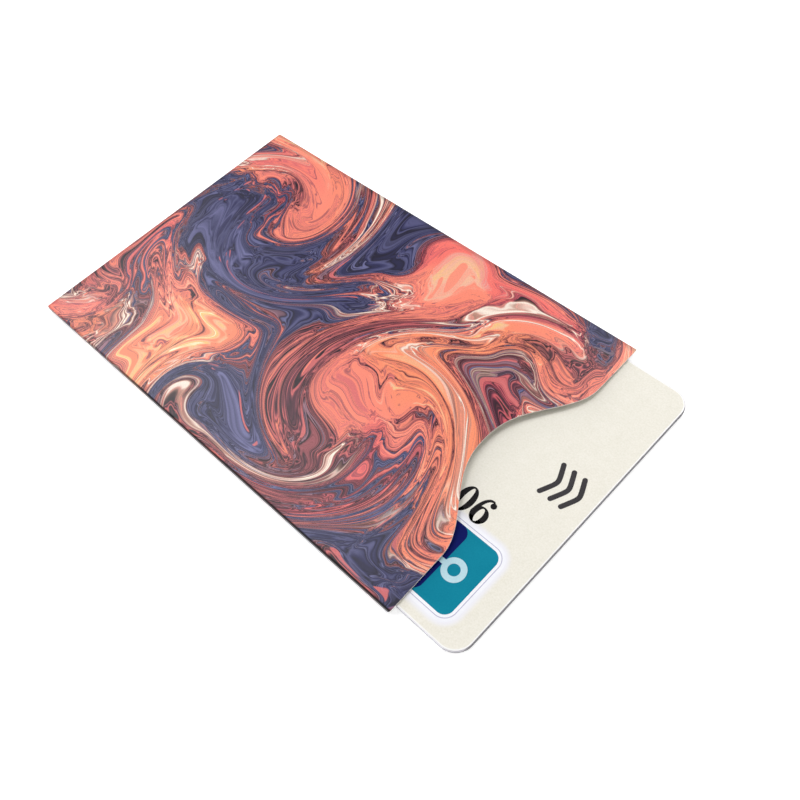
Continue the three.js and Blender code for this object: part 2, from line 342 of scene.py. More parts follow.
def sleeve_layer(name, depth, thickness, materials):
    """One layer of the folded sheet: an outer and an inner pair of trays, and a rim around the mouth."""
    surface = Surface(name)
    for front in (True, False):
        back = not front
        outer, place, shade = tray(depth, front)
        inner, inner_place, inner_shade = tray(depth + thickness, front)
        rim = np.stack([outer[-1], inner[-1]])
        rim_place = np.stack([place[-1], inner_place[-1]])
        outside = on_picture(place[:-1], OUTSIDE_COLUMNS)
        edge = on_picture(place[-2:], EDGE_COLUMNS, narrow=True)
        inside = on_picture(inner_place, INSIDE_COLUMNS)
        cut = on_picture(rim_place, RIM_COLUMNS, narrow=True)
        surface.grid(outer[:-1], OUTSIDE, flip=back, place=place[:-1], shade=shade[:-1], picture=outside)
        surface.grid(outer[-2:], CUT, flip=back, place=place[-2:], shade=shade[-2:], picture=edge)
        surface.grid(inner, INSIDE, flip=front, place=inner_place, shade=inner_shade, picture=inside)
        surface.grid(rim, CUT, flip=back, place=rim_place, picture=cut)
    return surface.build(materials, "sleeve")


# The card


def on_card(points):
    """Turns points of the card's own frame by its skew and moves them to its middle; heights stay."""
    cosine = math.cos(CARD_SKEW)
    sine = math.sin(CARD_SKEW)
    x = cosine * points[..., 0] - sine * points[..., 1] + CARD_CENTRE[0]
    y = sine * points[..., 0] + cosine * points[..., 1] + CARD_CENTRE[1]
    return np.stack([x, y, points[..., 2]], axis=-1)


def rounded_outline(half_x, half_y, radius):
    """A rectangle with round corners, as four quarter circles in turn."""
    turn = np.linspace(0, np.pi / 2, CORNER_STEPS + 1)
    quarter = np.arange(4)[:, None] * np.pi / 2
    side_x = np.array([1, -1, -1, 1])[:, None]
    side_y = np.array([1, 1, -1, -1])[:, None]
    x = side_x * (half_x - radius) + radius * np.cos(quarter + turn)
    y = side_y * (half_y - radius) + radius * np.sin(quarter + turn)
    return np.stack([x.ravel(), y.ravel()], axis=-1)


def ring_points(half, radius, centre, rings):
    """A rounded outline drawn in ring by ring, each given as a way in and a height.

    A way in of None closes the outline to a line along its middle.
    """
    made = []
    for inward, height in rings:
        if inward is None:
            outline = rounded_outline(half[0], half[1], radius) * np.array([MIDDLE_LINE, 0])
        else:
            outline = rounded_outline(half[0] - inward, half[1] - inward, radius - inward)
        made.append(np.column_stack([outline + np.array(centre), np.full(len(outline), height)]))
    return on_card(np.stack(made))


def add_plate(surface, half, radius, centre, low, high):
    """A flat plate with round corners and square edges."""
    points = ring_points(half, radius, centre, [(None, low), (0, low), (0, high), (None, high)])
    surface.grid(points, around=True)


def card_sheet(name, low, high, round_top, materials):
    """Half of the card, film and white sheet in one: a plate with a quarter round edge and a white rim as
    painted highlight.
    """
    turn = np.linspace(0, np.pi / 2, FOLD_STEPS + 1)
    inward = CARD_EDGE_RADIUS * (1 - np.cos(turn))
    drop = CARD_EDGE_RADIUS * (1 - np.sin(turn))
    half = (CARD_LENGTH / 2, CARD_WIDTH / 2)
    margin = CARD_EDGE_RADIUS + CARD_MARGIN
    finishes = [CARD_CORE] + [CARD_SIDE] * (FOLD_STEPS + 1) + [CARD_RIM_HIGHLIGHT, CARD_FACE]
    if round_top:
        rings = [(None, low), (0, low), *zip(inward, high - drop), (margin, high), (None, high)]
    else:
        rings = [(None, low), (margin, low), *zip(inward[::-1], low + drop[::-1]), (0, high), (None, high)]
        finishes = finishes[::-1]
    points = ring_points(half, CARD_CORNER_RADIUS, (0, 0), rings)
    surface = Surface(name)
    for step, finish in enumerate(finishes):
        surface.grid(points[step : step + 2], finish, around=True)
    return surface.build(materials, "card")


# Prints on the card


def add_strip(surface, left, right, low, high):
    """A flat strip of ink between two lines on the card, as a box section carried along them."""
    bottom = np.full((len(left), 1), low)
    top = np.full((len(left), 1), high)
    corners = [(left, bottom), (left, top), (right, top), (right, bottom)]
    section = [np.hstack(corner) for corner in corners]
    surface.grid(on_card(np.stack(section, axis=1)), around=True)


def add_stroke(surface, path, half_width, low, high):
    """A pen stroke: a strip to either side of a path, as wide as the pen at each point."""
    along = np.gradient(path, axis=0)
    across = np.stack([-along[:, 1], along[:, 0]], axis=-1)
    across = across / np.linalg.norm(across, axis=1, keepdims=True) * half_width[:, None]
    add_strip(surface, path + across, path - across, low, high)


def add_ring(surface, centre, outer, inner, low, high):
    """A flat ring: a strip between two ellipses, carried once around."""
    turn = np.linspace(0, 2 * np.pi, STROKE_STEPS + 1)
    circle = np.stack([np.cos(turn), np.sin(turn)], axis=-1)
    outside = circle * np.array(outer) + np.array(centre)
    inside = circle * np.array(inner) + np.array(centre)
    add_strip(surface, inside, outside, low, high)


def round_ended(path, half_width):
    """Pen half-widths along a path, closing in a half circle at each end."""
    leg = np.linalg.norm(np.diff(path, axis=0), axis=1)
    walked = np.concatenate([[0], np.cumsum(leg)])
    to_end = np.minimum(walked, walked[-1] - walked)
    share = np.minimum(to_end / half_width, 1)
    return half_width * np.sqrt(np.maximum(1 - (1 - share) ** 2, 0))


def bunched(low, high):
    """Steps from low to high that bunch up at both ends, as a cosine does."""
    turn = np.linspace(np.pi, 0, STROKE_STEPS + 1)
    return (low + high) / 2 + (high - low) / 2 * np.cos(turn)


def number_print(material):
    """The number nought six: a nought as a ring of two ellipses; a six as a bowl, a curved stem and a ball.

    The stem is part of an ellipse, drawn by a pen that thins by a power towards the tip. Each figure's
    pieces end at heights of their own, so that none lies in the plane of another.
    """
    surface = Surface("card_number")
    low = CARD_TOP - INK_SINK
    high = CARD_TOP + INK
    x = NUMBER_CENTRE[0] - NUMBER_PITCH / 2
    y = NUMBER_CENTRE[1]
    add_ring(surface, (x, y), NOUGHT_OUTER, NOUGHT_INNER, low, high)
    x = NUMBER_CENTRE[0] + NUMBER_PITCH / 2
    add_ring(surface, (x, y - BOWL_DROP), BOWL_OUTER, BOWL_INNER, low, high)
    turn = np.radians(bunched(*STEM_TURN))
    stem_x = x + STEM_CENTRE[0] + STEM_HALF[0] * np.cos(turn)
    stem_y = y + STEM_CENTRE[1] + STEM_HALF[1] * np.sin(turn)
    stem = np.stack([stem_x, stem_y], axis=-1)
    pen = STEM_TIP + STEM_SWELL * np.linspace(1, 0, len(turn)) ** STEM_TAPER
    ends = np.minimum(round_ended(stem, STEM_ROUND) / STEM_ROUND, 1)
    add_stroke(surface, stem, pen * ends, low, high + INK)
    ball = (x + BALL_CENTRE[0], y + BALL_CENTRE[1])
    add_ring(surface, ball, (BALL_RADIUS, BALL_RADIUS), (BALL_HOLE, BALL_HOLE), low, high + 2 * INK)
    surface.build([material], "card")


def arrow_print(material):
    """Three like arrow heads, each a stroke along one branch of a hyperbola."""
    surface = Surface("card_arrows")
    step = bunched(-1, 1)
    for number in (-1, 0, 1):
        foot = ARROWS_CENTRE[0] + number * ARROW_PITCH + ARROW_DEPTH / 2
        x = foot - ARROW_DEPTH * np.sqrt(step**2 + ARROW_BLUNTNESS)
        y = ARROWS_CENTRE[1] + ARROW_HEIGHT / 2 * step
        path = np.stack([x, y], axis=-1)
        add_stroke(surface, path, round_ended(path, ARROW_STROKE), CARD_TOP - INK_SINK, CARD_TOP + INK)
    surface.build([material], "card")


def halo_print(material):
    """The label's soft edge: a plate whose shade goes from nought at its outline to one at the border."""
    grow = LABEL_BORDER + LABEL_HALO
    half = (LABEL_HALF[0] + grow, LABEL_HALF[1] + grow)
    low = CARD_TOP - INK_SINK
    high = CARD_TOP + INK
    rings = [(None, low), (0, low), (0, high), (LABEL_HALO, high), (None, high)]
    points = ring_points(half, LABEL_CORNER + grow, LABEL_CENTRE, rings)
    share = np.array([0, 0, 0, 1, 1])[:, None] * np.ones(points.shape[1])
    surface = Surface("label_halo")
    surface.grid(points, around=True, shade=share)
    surface.build([material], "card")


def key_print(material, low, high):
    """The key sign: a ring, and plates for the blade and its teeth, which end a little higher in turn."""
    surface = Surface("label_key")
    x = LABEL_CENTRE[0] + KEY_RING
    y = LABEL_CENTRE[1]
    outer = (KEY_RING_OUTER, KEY_RING_OUTER)
    inner = (KEY_RING_INNER, KEY_RING_INNER)
    blade = (KEY_BLADE_HALF, KEY_PEN_HALF)
    add_ring(surface, (x, y), outer, inner, low, high)
    add_plate(surface, blade, KEY_CORNER, (x - KEY_BLADE, y), low, high + INK)
    for back, half_length in KEY_TEETH:
        tooth = (KEY_PEN_HALF, half_length)
        add_plate(surface, tooth, KEY_CORNER, (x - back, y - half_length), low, high + 2 * INK)
    surface.build([material], "card")


def label_print(halo, border, line, field, band, sign):
    """The label, ink over ink: a halo, a pale border with a fine line in it, a field, a band and a key."""
    halo_print(halo)
    level = CARD_TOP + INK
    line_grow = LABEL_BORDER - LABEL_LINE_INSET
    band_centre = (LABEL_CENTRE[0] - LABEL_HALF[0] + BAND_HALF[0], LABEL_CENTRE[1])
    layers = [
        ("label_border", LABEL_HALF, LABEL_BORDER, LABEL_CENTRE, border),
        ("label_line", LABEL_HALF, line_grow, LABEL_CENTRE, line),
        ("label_face", LABEL_HALF, line_grow - LABEL_LINE, LABEL_CENTRE, border),
        ("label_field", LABEL_HALF, 0, LABEL_CENTRE, field),
        ("label_band", BAND_HALF, 0, band_centre, band),
    ]
    for name, half, grow, centre, material in layers:
        low = level - INK_SINK
        level = level + INK
        surface = Surface(name)
        add_plate(surface, (half[0] + grow, half[1] + grow), LABEL_CORNER + grow, centre, low, level)
        surface.build([material], "card")
    key_print(sign, low, level + INK)


# Materials

WHITE = (1, 1, 1, 1)


def ink(*display):
    """A colour of 0 to 255 display values as linear light, by the standard display curve."""
    value = np.array(display) / 255
    return (*np.where(value <= 0.04045, value / 12.92, ((value + 0.055) / 1.055) ** 2.4), 1.0)


class Graph:
    """The nodes of a material or of the world, wired in plain calls."""

    def __init__(self, owner):
        owner.use_nodes = True
        self.tree = owner.node_tree

    def put(self, socket, value):
        """Links a socket to another one, or gives it a plain value."""
        if isinstance(value, bpy.types.NodeSocket):
            self.tree.links.new(value, socket)
        else:
            socket.default_value = value

    def node(self, kind, values=(), **settings):
        made = self.tree.nodes.new("ShaderNode" + kind)
        for key, value in settings.items():
            setattr(made, key, value)
        for key, value in dict(values).items():
            self.put(made.inputs[key], value)
        return made

    def math(self, operation, *values):
        return self.node("Math", enumerate(values), operation=operation).outputs[0]

    def shift(self, place, *move):
        return self.node("VectorMath", {0: place, 1: (*move, 0)}, operation="ADD").outputs[0]

    def noise(self, place, scale, detail=0.0, roughness=0.5, size="2D"):
        values = {"Vector": place, "Scale": scale, "Detail": detail, "Roughness": roughness}
        return self.node("TexNoise", values, noise_dimensions=size)

    def spread(self, value, low, high, new_low=0.0, new_high=1.0):
        """A smooth step of a value from low to high."""
        values = {0: value, 1: low, 2: high, 3: new_low, 4: new_high}
        return self.node("MapRange", values, interpolation_type="SMOOTHSTEP").outputs[0]

    def near(self, value, middle, inside, outside):
        """One where a value is close to the middle, nought further off."""
        off = self.math("ABSOLUTE", self.math("SUBTRACT", value, middle))
        return self.spread(off, inside, outside, 1.0, 0.0)

    def dots(self, place, scale, sizes, edge, size):
        """Round dots in the cells of a net: a cell's chance gives its dot's size, and its rim steps off."""
        cells = self.node("TexVoronoi", {"Vector": place, "Scale": scale}, voronoi_dimensions=size)
        chance = self.node("SeparateColor", {0: cells.outputs["Color"]}).outputs[0]
        reach = self.spread(chance, *sizes)
        return self.spread(self.math("SUBTRACT", reach, cells.outputs["Distance"]), *edge)

    def ramp(self, value, stops, mode="LINEAR"):
        made = self.node("ValToRGB", {0: value})
        band = made.color_ramp
        band.interpolation = mode
        while len(band.elements) < len(stops):
            band.elements.new(1.0)
        for element, (position, colour) in zip(band.elements, stops):
            element.position = position
            element.color = colour
        return made.outputs[0]

    def blend(self, share, first, second):
        made = self.node("Mix", data_type="RGBA")
        self.put(made.inputs[0], share)
        self.put(made.inputs[6], first)
        self.put(made.inputs[7], second)
        return made.outputs[2]

    def join(self, x, y, z):
        return self.node("CombineXYZ", {0: x, 1: y, 2: z}).outputs[0]

    def blank(self):
        """The place on the flat sheet, in map units."""
        return self.node("UVMap", uv_map="blank").outputs[0]

    def place(self):
        """The place on the part, in metres."""
        return self.node("TexCoord").outputs["Object"]

    def shade(self):
        """The share of fold of an envelope layer, or of white of the label's halo."""
        return self.node("Attribute", attribute_name="shade").outputs["Fac"]

    def seen(self):
        """One for a ray straight from the camera, a shiny face or a clear body, nought for the rest."""
        rays = self.node("LightPath").outputs
        seen = self.math("MAXIMUM", rays["Is Camera Ray"], rays["Is Glossy Ray"])
        return self.math("MAXIMUM", seen, rays["Is Transmission Ray"])


class Finish(Graph):
    """A material: a surface shader with its plain values, and the nodes that feed it."""

    def __init__(self, name, roughness, metallic=0.0, specular=0.5):
        self.material = bpy.data.materials.new(name)
        super().__init__(self.material)
        self.shader = self.tree.nodes["Principled BSDF"]
        self.shader.inputs["Roughness"].default_value = roughness
        self.shader.inputs["Metallic"].default_value = metallic
        self.shader.inputs["Specular IOR Level"].default_value = specular

    def bump(self, height, strength, depth):
        """A relief of a depth in millimetres."""
        values = {"Height": height, "Strength": strength, "Distance": depth * MM}
        self.put(self.shader.inputs["Normal"], self.node("Bump", values).outputs[0])

    def paint(self, colour):
        self.put(self.shader.inputs["Base Color"], colour)
        return self.material


# The scale of a stuff's broad grain, as a share of its fine grain's
BROAD_GRAIN = 0.07
# Where the grain's two colours are reached, in the noise's own values
GRAIN_ENDS = (0.3, 0.7)


def grained(name, dark, light, grain, roughness, metallic=0.0, specular=0.5):
    """A stuff with an even grain, its size in millimetres: two near colours by fine and broad noise in
    equal shares, and the fine noise as relief.
    """
    graph = Finish(name, roughness, metallic, specular)
    place = graph.place()
    fine = graph.noise(place, 1 / (grain * MM), detail=3.0, roughness=0.6, size="3D").outputs[0]
    broad = graph.noise(place, BROAD_GRAIN / (grain * MM), detail=2.0, size="3D").outputs[0]
    graph.bump(fine, strength=0.4, depth=0.02)
    mottled = graph.math("MULTIPLY_ADD", broad, 0.5, graph.math("MULTIPLY", fine, 0.5))
    return graph.paint(graph.ramp(mottled, [(GRAIN_ENDS[0], dark), (GRAIN_ENDS[1], light)]))


# The poured print

CORAL = ink(252, 141, 119)
DEEP = ink(219, 113, 113)
BRICK = ink(162, 85, 94)
MAROON = ink(98, 50, 66)
SOOT = ink(32, 17, 28)
NAVY = ink(22, 17, 40)
INDIGO = ink(46, 46, 86)
MAUVE = ink(168, 122, 138)
SLATE = ink(86, 86, 126)
STEEL = ink(112, 112, 156)
PEACH = ink(244, 184, 160)
AMBER = ink(246, 192, 134)
CREAM = ink(255, 244, 230)
# The colour of the painted shade along the folds
FOLD_SHADE_INK = ink(20, 16, 20)

# Where the paint was stirred: the middle, how far it reaches and how far it turns, in map units and radians
STIRS = [
    ((0.17, 0.40), 0.27, 2.3),
    ((0.60, 0.20), 0.25, -2.2),
    ((0.78, 0.46), 0.22, 2.2),
    ((0.36, 0.08), 0.20, 2.0),
    ((0.04, 0.12), 0.20, -2.2),
    ((0.46, 0.50), 0.22, -2.0),
    ((0.25, -0.30), 0.34, 2.6),
    ((0.66, -0.26), 0.32, -2.6),
]
# Which part of the endless noise this pour is, in map units
POUR = (57.1, 21.4)
# How the paint ran, from broad to fine: noise scale and push, in map units
RUNS = [(3.6, 0.30), (8.0, 0.145), (20.0, 0.05), (60.0, 0.012)]
# What the paints are tinted with from place to place: red, plain, orange and yellow
TINTS = [
    (0.30, (0.95, 0.7, 0.85, 1)),
    (0.45, WHITE),
    (0.57, (1, 1, 0.95, 1)),
    (0.70, (1, 1.1, 0.83, 1)),
]
# The paints in the order in which they lie beside each other
PAINTS = [
    (0.16, STEEL),
    (0.23, SLATE),
    (0.275, INDIGO),
    (0.305, NAVY),
    (0.33, SLATE),
    (0.35, INDIGO),
    (0.368, NAVY),
    (0.382, STEEL),
    (0.394, NAVY),
    (0.408, MAUVE),
    (0.417, SOOT),
    (0.425, SOOT),
    (0.434, BRICK),
    (0.444, SOOT),
    (0.458, MAROON),
    (0.47, DEEP),
    (0.480, SOOT),
    (0.488, SOOT),
    (0.50, MAROON),
    (0.512, DEEP),
    (0.524, MAROON),
    (0.54, CORAL),
    (0.553, BRICK),
    (0.57, CORAL),
    (0.588, DEEP),
    (0.602, CORAL),
    (0.615, BRICK),
    (0.63, CORAL),
    (0.70, CORAL),
    (0.77, PEACH),
    (0.86, AMBER),
    (0.93, CREAM),
]
# The paint of a drop, by the paint that it fell on
DROP_PAINTS = [(0.0, DEEP), (0.5, CORAL), (0.56, BRICK), (0.7, CORAL)]

# The slow noises that steer the paint: the move that sets each apart, in map units, its scale and its detail
POOLS = ((0.0, 0.0), 3.9, 1.0)
DRIFT = ((7.3, 2.1), 3.6, 1.0)
LIVELINESS = ((3.7, 9.2), 3.6, 0.0)
WARMTH = ((5.1, 3.3), 4.5, 1.0)
PATCHES = ((1.7, 4.4), 5.5, 1.0)
WETNESS = ((2.7, 6.4), 6.0, 0.0)
NOISE_MIDDLE = 0.5

# How often bands and threads change with the height of the pools and with the drift
BROAD_BANDS = (42.0, 6.0)
FINE_BANDS = (130.0, 20.0)
THREADS = (24.0, 9.0)
THREAD_LEVEL = 5.0  # where the threads' noise is read on its third axis, which the bands' noise lacks

# Smooth steps: from and to in what is read, then from and to in what is given, or else nought to one
LIVELY_STEP = (0.36, 0.62, 0.16, 0.95)
CALM_STEP = (0.32, 0.44, 0.45, 1.0)
WARM_STEP = (0.38, 0.46)
PATCH_STEP = (0.50, 0.62)
DROP_SIZES = (0.55, 1.0, 0.0, 0.34)
DROP_EDGE = (0.0, 0.06)
WET_STEP = (0.52, 0.60, 0.0, 0.85)
PRINT_GRAIN_STEP = (0.25, 0.75, 0.92, 1.07)

# How close to the middle a shore, a thread's glow and a thread's core are full, and where they end
SHORE_REACH = (0.06, 0.12)
GLOW_REACH = (0.0, 0.09)
CORE_REACH = (0.004, 0.032)

# Shares in the paint, and scales to a map unit
FINE_SHARE = 0.34
MOTTLE_SHARE = 0.14
GLOW_SHARE = 0.8
MOTTLE_SCALE = 34.0
DROP_SCALE = 46.0
PRINT_GRAIN_SCALE = 420.0
FILM_SCALE = 260.0

# Where painted shade darkens the folds, in map units across from the spine or along from the closed end, and
# how dark
SPINE_REACH = (0.008, 0.02)
CREASE_FOOT = (-0.004, 0.0)
CREASE_TOP = (0.0075, 0.0100)
CREASE_START = (0.02, 0.3)
FAR_FOLD = (0.570, 0.580)
END_FOLD = (0.002, 0.010)
FOLD_SHARES = (0.1, 0.5)  # the share of fold at which the painted shade begins and is full
SPINE_DARKNESS = 0.95
FOLD_DARKNESS = 0.55
RIDGE_DARKNESS = 0.35


def stirred(graph, place):
    """The map turned about each stir, by an angle that falls off smoothly from the middle to the reach."""
    for middle, reach, turn in STIRS:
        centre = (*middle, 0)
        away = graph.node("VectorMath", {0: place, 1: centre}, operation="DISTANCE").outputs["Value"]
        values = {"Vector": place, "Center": centre, "Angle": graph.spread(away, 0.0, reach, turn, 0.0)}
        place = graph.node("VectorRotate", values, rotation_type="Z_AXIS").outputs[0]
    return place


def run_out(graph, place):
    """The map pushed about by noise from broad to fine, each push at the place that the last one gave."""
    place = graph.shift(place, *POUR)
    for number, (scale, push) in enumerate(RUNS, 1):
        run = graph.noise(graph.shift(place, number, 0), scale, detail=1.0).outputs["Color"]
        values = {0: run, 1: (push, push, 0), 2: place}
        place = graph.node("VectorMath", values, operation="MULTIPLY_ADD").outputs[0]
    return place


def steered(graph, place, steer):
    """One of the slow noises that steer the paint."""
    move, scale, detail = steer
    return graph.noise(graph.shift(place, *move), scale, detail).outputs[0]


def banded(graph, pools, drift, counts, detail=1.0, roughness=0.5, size="2D"):
    """Bands along the shores of the pools: noise read at the pools' height and the drift, times counts."""
    height = graph.math("MULTIPLY", pools, counts[0])
    along = graph.math("MULTIPLY", drift, counts[1])
    return graph.noise(graph.join(height, along, THREAD_LEVEL), 1.0, detail, roughness, size).outputs[0]


def paint_level(graph, place, pools, drift):
    """Which paint lies at a place: the pools' height plus broad bands, fine bands and a mottle.

    The bands are strong where the paint is lively and weak in the low pools.
    """
    lively = graph.spread(steered(graph, place, LIVELINESS), *LIVELY_STEP)
    bands = banded(graph, pools, drift, BROAD_BANDS, detail=2.0, roughness=0.65)
    fine = banded(graph, pools, drift, FINE_BANDS)
    mottle = graph.noise(place, MOTTLE_SCALE, detail=4.0, roughness=0.62).outputs[0]
    step = graph.math("MULTIPLY", graph.math("SUBTRACT", bands, NOISE_MIDDLE), lively)
    fine_step = graph.math("MULTIPLY", lively, FINE_SHARE)
    step = graph.math("MULTIPLY_ADD", graph.math("SUBTRACT", fine, NOISE_MIDDLE), fine_step, step)
    step = graph.math("MULTIPLY", step, graph.spread(pools, *CALM_STEP))
    step = graph.math("MULTIPLY_ADD", graph.math("SUBTRACT", mottle, NOISE_MIDDLE), MOTTLE_SHARE, step)
    return graph.math("ADD", pools, step)


def tinted(graph, place, level, colour):
    """The colour times a tint that changes from place to place, on the warm paints alone."""
    tint = graph.ramp(steered(graph, place, WARMTH), TINTS)
    tint = graph.blend(graph.spread(level, *WARM_STEP), WHITE, tint)
    return graph.node("VectorMath", {0: colour, 1: tint}, operation="MULTIPLY").outputs[0]


def threaded(graph, place, pools, drift, colour):
    """Pale threads, in patches along the shores, where a noise is near its middle: a glow and a core."""
    thread = banded(graph, pools, drift, THREADS, size="3D")
    patch = graph.spread(steered(graph, place, PATCHES), *PATCH_STEP)
    patch = graph.math("MULTIPLY", patch, graph.near(pools, NOISE_MIDDLE, *SHORE_REACH))
    glow = graph.math("MULTIPLY", graph.near(thread, NOISE_MIDDLE, *GLOW_REACH), patch)
    colour = graph.blend(graph.math("MULTIPLY", glow, GLOW_SHARE), colour, PEACH)
    core = graph.math("MULTIPLY", graph.near(thread, NOISE_MIDDLE, *CORE_REACH), patch)
    return graph.blend(core, colour, CREAM)


def dripped(graph, place, level, colour):
    """Round drops of another paint where the pour is wet."""
    drop = graph.dots(place, DROP_SCALE, DROP_SIZES, DROP_EDGE, "2D")
    wet = graph.spread(steered(graph, place, WETNESS), *WET_STEP)
    paint = graph.ramp(level, DROP_PAINTS, "CONSTANT")
    return graph.blend(graph.math("MULTIPLY", drop, wet), colour, paint)


def painted_fold_shade(graph):
    """Painted shade on the folds: darkest on the spine and its crease, less on the other walls, least on the
    far ridges.
    """
    from_end, from_spine, _ = graph.node("SeparateXYZ", {0: graph.blank()}).outputs
    spine = graph.near(from_spine, 0.0, *SPINE_REACH)
    darkest = graph.spread(spine, 0.0, 1.0, FOLD_DARKNESS, SPINE_DARKNESS)
    walls = graph.spread(graph.shade(), *FOLD_SHARES, 0.0, darkest)
    top = graph.spread(from_spine, *CREASE_TOP, SPINE_DARKNESS, 0.0)
    crease = graph.math("MULTIPLY", top, graph.spread(from_spine, *CREASE_FOOT))
    crease = graph.math("MULTIPLY", crease, graph.spread(from_end, *CREASE_START))
    far_fold = graph.spread(graph.math("ABSOLUTE", from_spine), *FAR_FOLD, 0.0, RIDGE_DARKNESS)
    end_fold = graph.spread(from_end, *END_FOLD, RIDGE_DARKNESS, 0.0)
    ridges = graph.math("MAXIMUM", far_fold, end_fold)
    return graph.math("MAXIMUM", graph.math("MAXIMUM", walls, crease), ridges)


def marbled_print():
    """Poured paint under a satin film, laid out on the flat sheet so that it runs on around the folds."""
    graph = Finish("marbled_print", roughness=0.26, specular=0.17)
    place = run_out(graph, stirred(graph, graph.blank()))
    pools = steered(graph, place, POOLS)
    drift = steered(graph, place, DRIFT)
    level = paint_level(graph, place, pools, drift)
    colour = tinted(graph, place, level, graph.ramp(level, PAINTS))
    colour = threaded(graph, place, pools, drift, colour)
    colour = dripped(graph, place, level, colour)
    grain = graph.noise(graph.blank(), PRINT_GRAIN_SCALE, detail=2.0, roughness=0.6).outputs[0]
    grain = graph.spread(grain, *PRINT_GRAIN_STEP)
    colour = graph.node("VectorMath", {0: colour, "Scale": grain}, operation="SCALE").outputs[0]
    film = graph.noise(graph.blank(), FILM_SCALE, detail=3.0, roughness=0.6).outputs[0]
    graph.bump(film, strength=0.25, depth=0.02)
    # Painted shade darkens the fold walls, the spine's crease and the far ridges
    return graph.paint(graph.blend(painted_fold_shade(graph), colour, FOLD_SHADE_INK))


# The finishes of the card

# What the noise of each grain is painted with, from one value to another
CREAM_STOPS = [(0.25, ink(233, 229, 215)), (0.75, ink(248, 244, 234))]
SIDE_PALE = [(0.3, ink(216, 213, 220)), (0.7, ink(232, 229, 235))]
# The grey of the card's side is painted shade for its leading end
SIDE_SHADE_GREY = [(0.3, ink(131, 128, 134)), (0.7, ink(151, 148, 153))]
SPECK = ink(120, 112, 100)
HALO_WHITE = ink(243, 242, 248)
# Scales of the card's grains, mottle and specks, to a metre
CARD_GRAIN_SCALE = 3600.0
CARD_MOTTLE_SCALE = 500.0
SPECK_SCALE = 260.0
SIDE_GRAIN_SCALE = 10000.0
# Smooth steps, as in the print
SPECK_SIZES = (0.9, 1.0, 0.0, 0.05)
SPECK_EDGE = (0.0, 0.02, 0.0, 0.4)
# How much of the mottling is grain
CARD_GRAIN_SHARE = 0.8


def card_cream(graph):
    """The card's colour: cream with a fine grain and a few specks."""
    place = graph.place()
    fine = graph.noise(place, CARD_GRAIN_SCALE, detail=2.0, roughness=0.6, size="3D").outputs[0]
    broad = graph.noise(place, CARD_MOTTLE_SCALE, detail=2.0, size="3D").outputs[0]
    grain = graph.math("MULTIPLY", fine, CARD_GRAIN_SHARE)
    mottled = graph.math("MULTIPLY_ADD", broad, 1 - CARD_GRAIN_SHARE, grain)
    colour = graph.ramp(mottled, CREAM_STOPS)
    speck = graph.dots(place, SPECK_SCALE, SPECK_SIZES, SPECK_EDGE, "3D")
    graph.bump(fine, strength=0.3, depth=0.01)
    return graph.blend(speck, colour, SPECK)


def card_face():
    """The card's face under its film."""
    graph = Finish("card_face", roughness=0.5, specular=0.15)
    return graph.paint(card_cream(graph))


def card_side():
    """The card's cut side: pale, with painted shade in grey along the leading end, which faces away from the
    lamps.
    """
    graph = Finish("card_side", roughness=0.6, specular=0.15)
    place = graph.place()
    fine = graph.noise(place, SIDE_GRAIN_SCALE, detail=3.0, roughness=0.6, size="3D").outputs[0]
    toward = (math.cos(CARD_SKEW), math.sin(CARD_SKEW), 0)
    along = graph.node("VectorMath", {0: place, 1: toward}, operation="DOT_PRODUCT").outputs["Value"]
    end = float(np.dot(CARD_CENTRE, toward)) + CARD_LENGTH / 2
    end_shade = graph.spread(along, (end - CARD_END_SHADE[0]) * MM, (end - CARD_END_SHADE[1]) * MM)
    graph.bump(fine, strength=0.4, depth=0.02)
    return graph.paint(graph.blend(end_shade, graph.ramp(fine, SIDE_PALE), graph.ramp(fine, SIDE_SHADE_GREY)))


def label_halo():
    """The label's halo: white by the border, the card's own cream at its outline."""
    graph = Finish("label_halo", roughness=0.5, specular=0.15)
    share = graph.spread(graph.shade(), 0.0, 1.0)
    return graph.paint(graph.blend(share, card_cream(graph), HALO_WHITE))


# The even stuffs: two colours, the grain's size in millimetres and the roughness
cut_edge = grained("cut_edge", ink(214, 206, 198), ink(240, 234, 227), 0.08, 0.85, specular=0.15)
paper_inside = grained("paper_inside", ink(222, 217, 206), ink(240, 236, 227), 0.2, 0.85)
liner = grained("liner_paper", ink(214, 211, 203), ink(236, 234, 228), 0.25, 0.8)
foil = grained("foil", ink(176, 178, 182), ink(212, 213, 216), 0.4, 0.3, metallic=1.0)
glue = grained("seam_glue", ink(216, 206, 180), ink(236, 229, 208), 0.3, 0.35)
# A painted highlight: the white band along the card's edge
rim_highlight = grained("card_rim_highlight", ink(248, 247, 244), ink(254, 253, 251), 0.1, 0.4)
core_face = grained("card_core", ink(226, 225, 221), ink(242, 241, 238), 0.3, 0.7)
# Painted shade: the inlay is dark grey so that the card's cut edge shows a dark line
inlay = grained("inlay_film", ink(98, 100, 106), ink(124, 126, 131), 0.3, 0.45)
copper = grained("antenna_copper", ink(196, 120, 84), ink(228, 152, 112), 0.15, 0.32, metallic=1.0)
resin = grained("chip_resin", ink(24, 24, 26), ink(44, 44, 47), 0.12, 0.55)
number_ink = grained("number_ink", ink(14, 13, 15), ink(32, 30, 32), 0.15, 0.5, specular=0.05)
arrow_ink = grained("arrow_ink", ink(40, 37, 40), ink(56, 53, 56), 0.15, 0.5, specular=0.15)
border_ink = grained("border_ink", ink(240, 240, 248), ink(250, 250, 254), 0.2, 0.45)
line_ink = grained("line_ink", ink(180, 178, 204), ink(196, 194, 216), 0.2, 0.45)
field_ink = grained("field_ink", ink(4, 126, 152), ink(16, 138, 163), 0.25, 0.5, specular=0.05)
band_ink = grained("band_ink", ink(4, 14, 86), ink(10, 24, 102), 0.25, 0.5, specular=0.05)
sign_ink = grained("sign_ink", ink(176, 214, 226), ink(204, 230, 238), 0.25, 0.5, specular=0.15)

# The pieces

